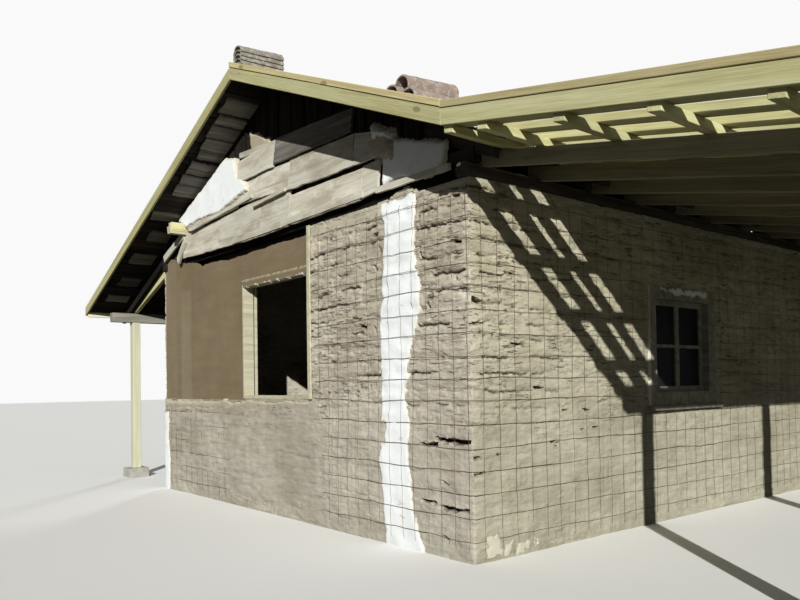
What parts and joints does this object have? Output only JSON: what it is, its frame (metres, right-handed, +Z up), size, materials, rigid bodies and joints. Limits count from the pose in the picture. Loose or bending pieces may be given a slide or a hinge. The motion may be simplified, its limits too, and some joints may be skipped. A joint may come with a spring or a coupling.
{
  "type": "adobe house",
  "caption": "Single-storey adobe house with a pitched timber roof, a plank-decked porch on one long side and a lower eave on posts along the other",
  "frame": {"origin": "on the ground under the middle of the bounding box", "axes": "X across the gable, towards the wide porch; Y along the house, away from the front gable; Z up"},
  "size_m": [9.18, 9.464, 4.2251],
  "materials": {
    "wall_footing": "rough concrete",
    "packed_floor": "matte trowelled mud",
    "front_gable_wall": "matte eroded mud",
    "back_gable_wall": "matte eroded mud",
    "right_side_wall": "matte eroded mud",
    "left_side_wall": "matte eroded mud",
    "gable_plaster": "matte trowelled mud",
    "plaster_battens": "sawn",
    "gable_window_linings": "sawn",
    "side_window_linings": "sawn",
    "side_window_sashes": "sawn",
    "side_window_panes": "clear",
    "side_window_sills": "sawn",
    "doorway_lining": "sawn",
    "right_wall_pole": "weathered",
    "left_wall_plate": "weathered",
    "gable_plates": "weathered",
    "tie_beams": "weathered",
    "king_posts": "weathered",
    "ridge_beam": "weathered",
    "right_rafters": "weathered",
    "left_rafters": "weathered",
    "upright_gable_boards": "weathered",
    "gable_boards": "weathered",
    "right_roof_boards": "weathered",
    "left_roof_boards": "weathered",
    "left_barge_boards": "sawn, treated",
    "right_barge_boards": "sawn, treated",
    "right_barge_strips": "sawn, treated",
    "porch_barge_boards": "sawn, treated",
    "porch_barge_strips": "sawn, treated",
    "porch_rafters": "sawn",
    "porch_purlins": "sawn",
    "porch_planks": "sawn",
    "right_porch_beam": "sawn",
    "right_porch_posts": "sawn",
    "left_porch_beam": "sawn",
    "left_porch_posts": "sawn",
    "left_porch_rafters": "sawn, treated",
    "left_purlin": "sawn, treated",
    "left_eave_board": "sawn",
    "post_blocks": "rough concrete",
    "ridge_tile_stack": "fired clay, matte",
    "slope_tile_pile": "fired clay, matte",
    "loose_tiles": "fired clay, matte"
  },
  "bodies": {
    "root": {"wall_footing": "wall_footing", "packed_floor": "packed_floor", "front_gable_wall": "front_gable_wall", "back_gable_wall": "back_gable_wall", "right_side_wall": "right_side_wall", "left_side_wall": "left_side_wall", "gable_plaster": "gable_plaster", "plaster_battens": "plaster_battens", "gable_window_linings": "gable_window_linings", "side_window_linings": "side_window_linings", "side_window_sashes": "side_window_sashes", "side_window_panes": "side_window_panes", "side_window_sills": "side_window_sills", "doorway_lining": "doorway_lining", "right_wall_pole": "right_wall_pole", "left_wall_plate": "left_wall_plate", "gable_plates": "gable_plates", "tie_beams": "tie_beams", "king_posts": "king_posts", "ridge_beam": "ridge_beam", "right_rafters": "right_rafters", "left_rafters": "left_rafters", "upright_gable_boards": "upright_gable_boards", "gable_boards": "gable_boards", "right_roof_boards": "right_roof_boards", "left_roof_boards": "left_roof_boards", "left_barge_boards": "left_barge_boards", "right_barge_boards": "right_barge_boards", "right_barge_strips": "right_barge_strips", "porch_barge_boards": "porch_barge_boards", "porch_barge_strips": "porch_barge_strips", "porch_rafters": "porch_rafters", "porch_purlins": "porch_purlins", "porch_planks": "porch_planks", "right_porch_beam": "right_porch_beam", "right_porch_posts": "right_porch_posts", "left_porch_beam": "left_porch_beam", "left_porch_posts": "left_porch_posts", "left_porch_rafters": "left_porch_rafters", "left_purlin": "left_purlin", "left_eave_board": "left_eave_board", "post_blocks": "post_blocks", "ridge_tile_stack": "ridge_tile_stack", "slope_tile_pile": "slope_tile_pile", "loose_tiles": "loose_tiles"}
  },
  "joints": []
}
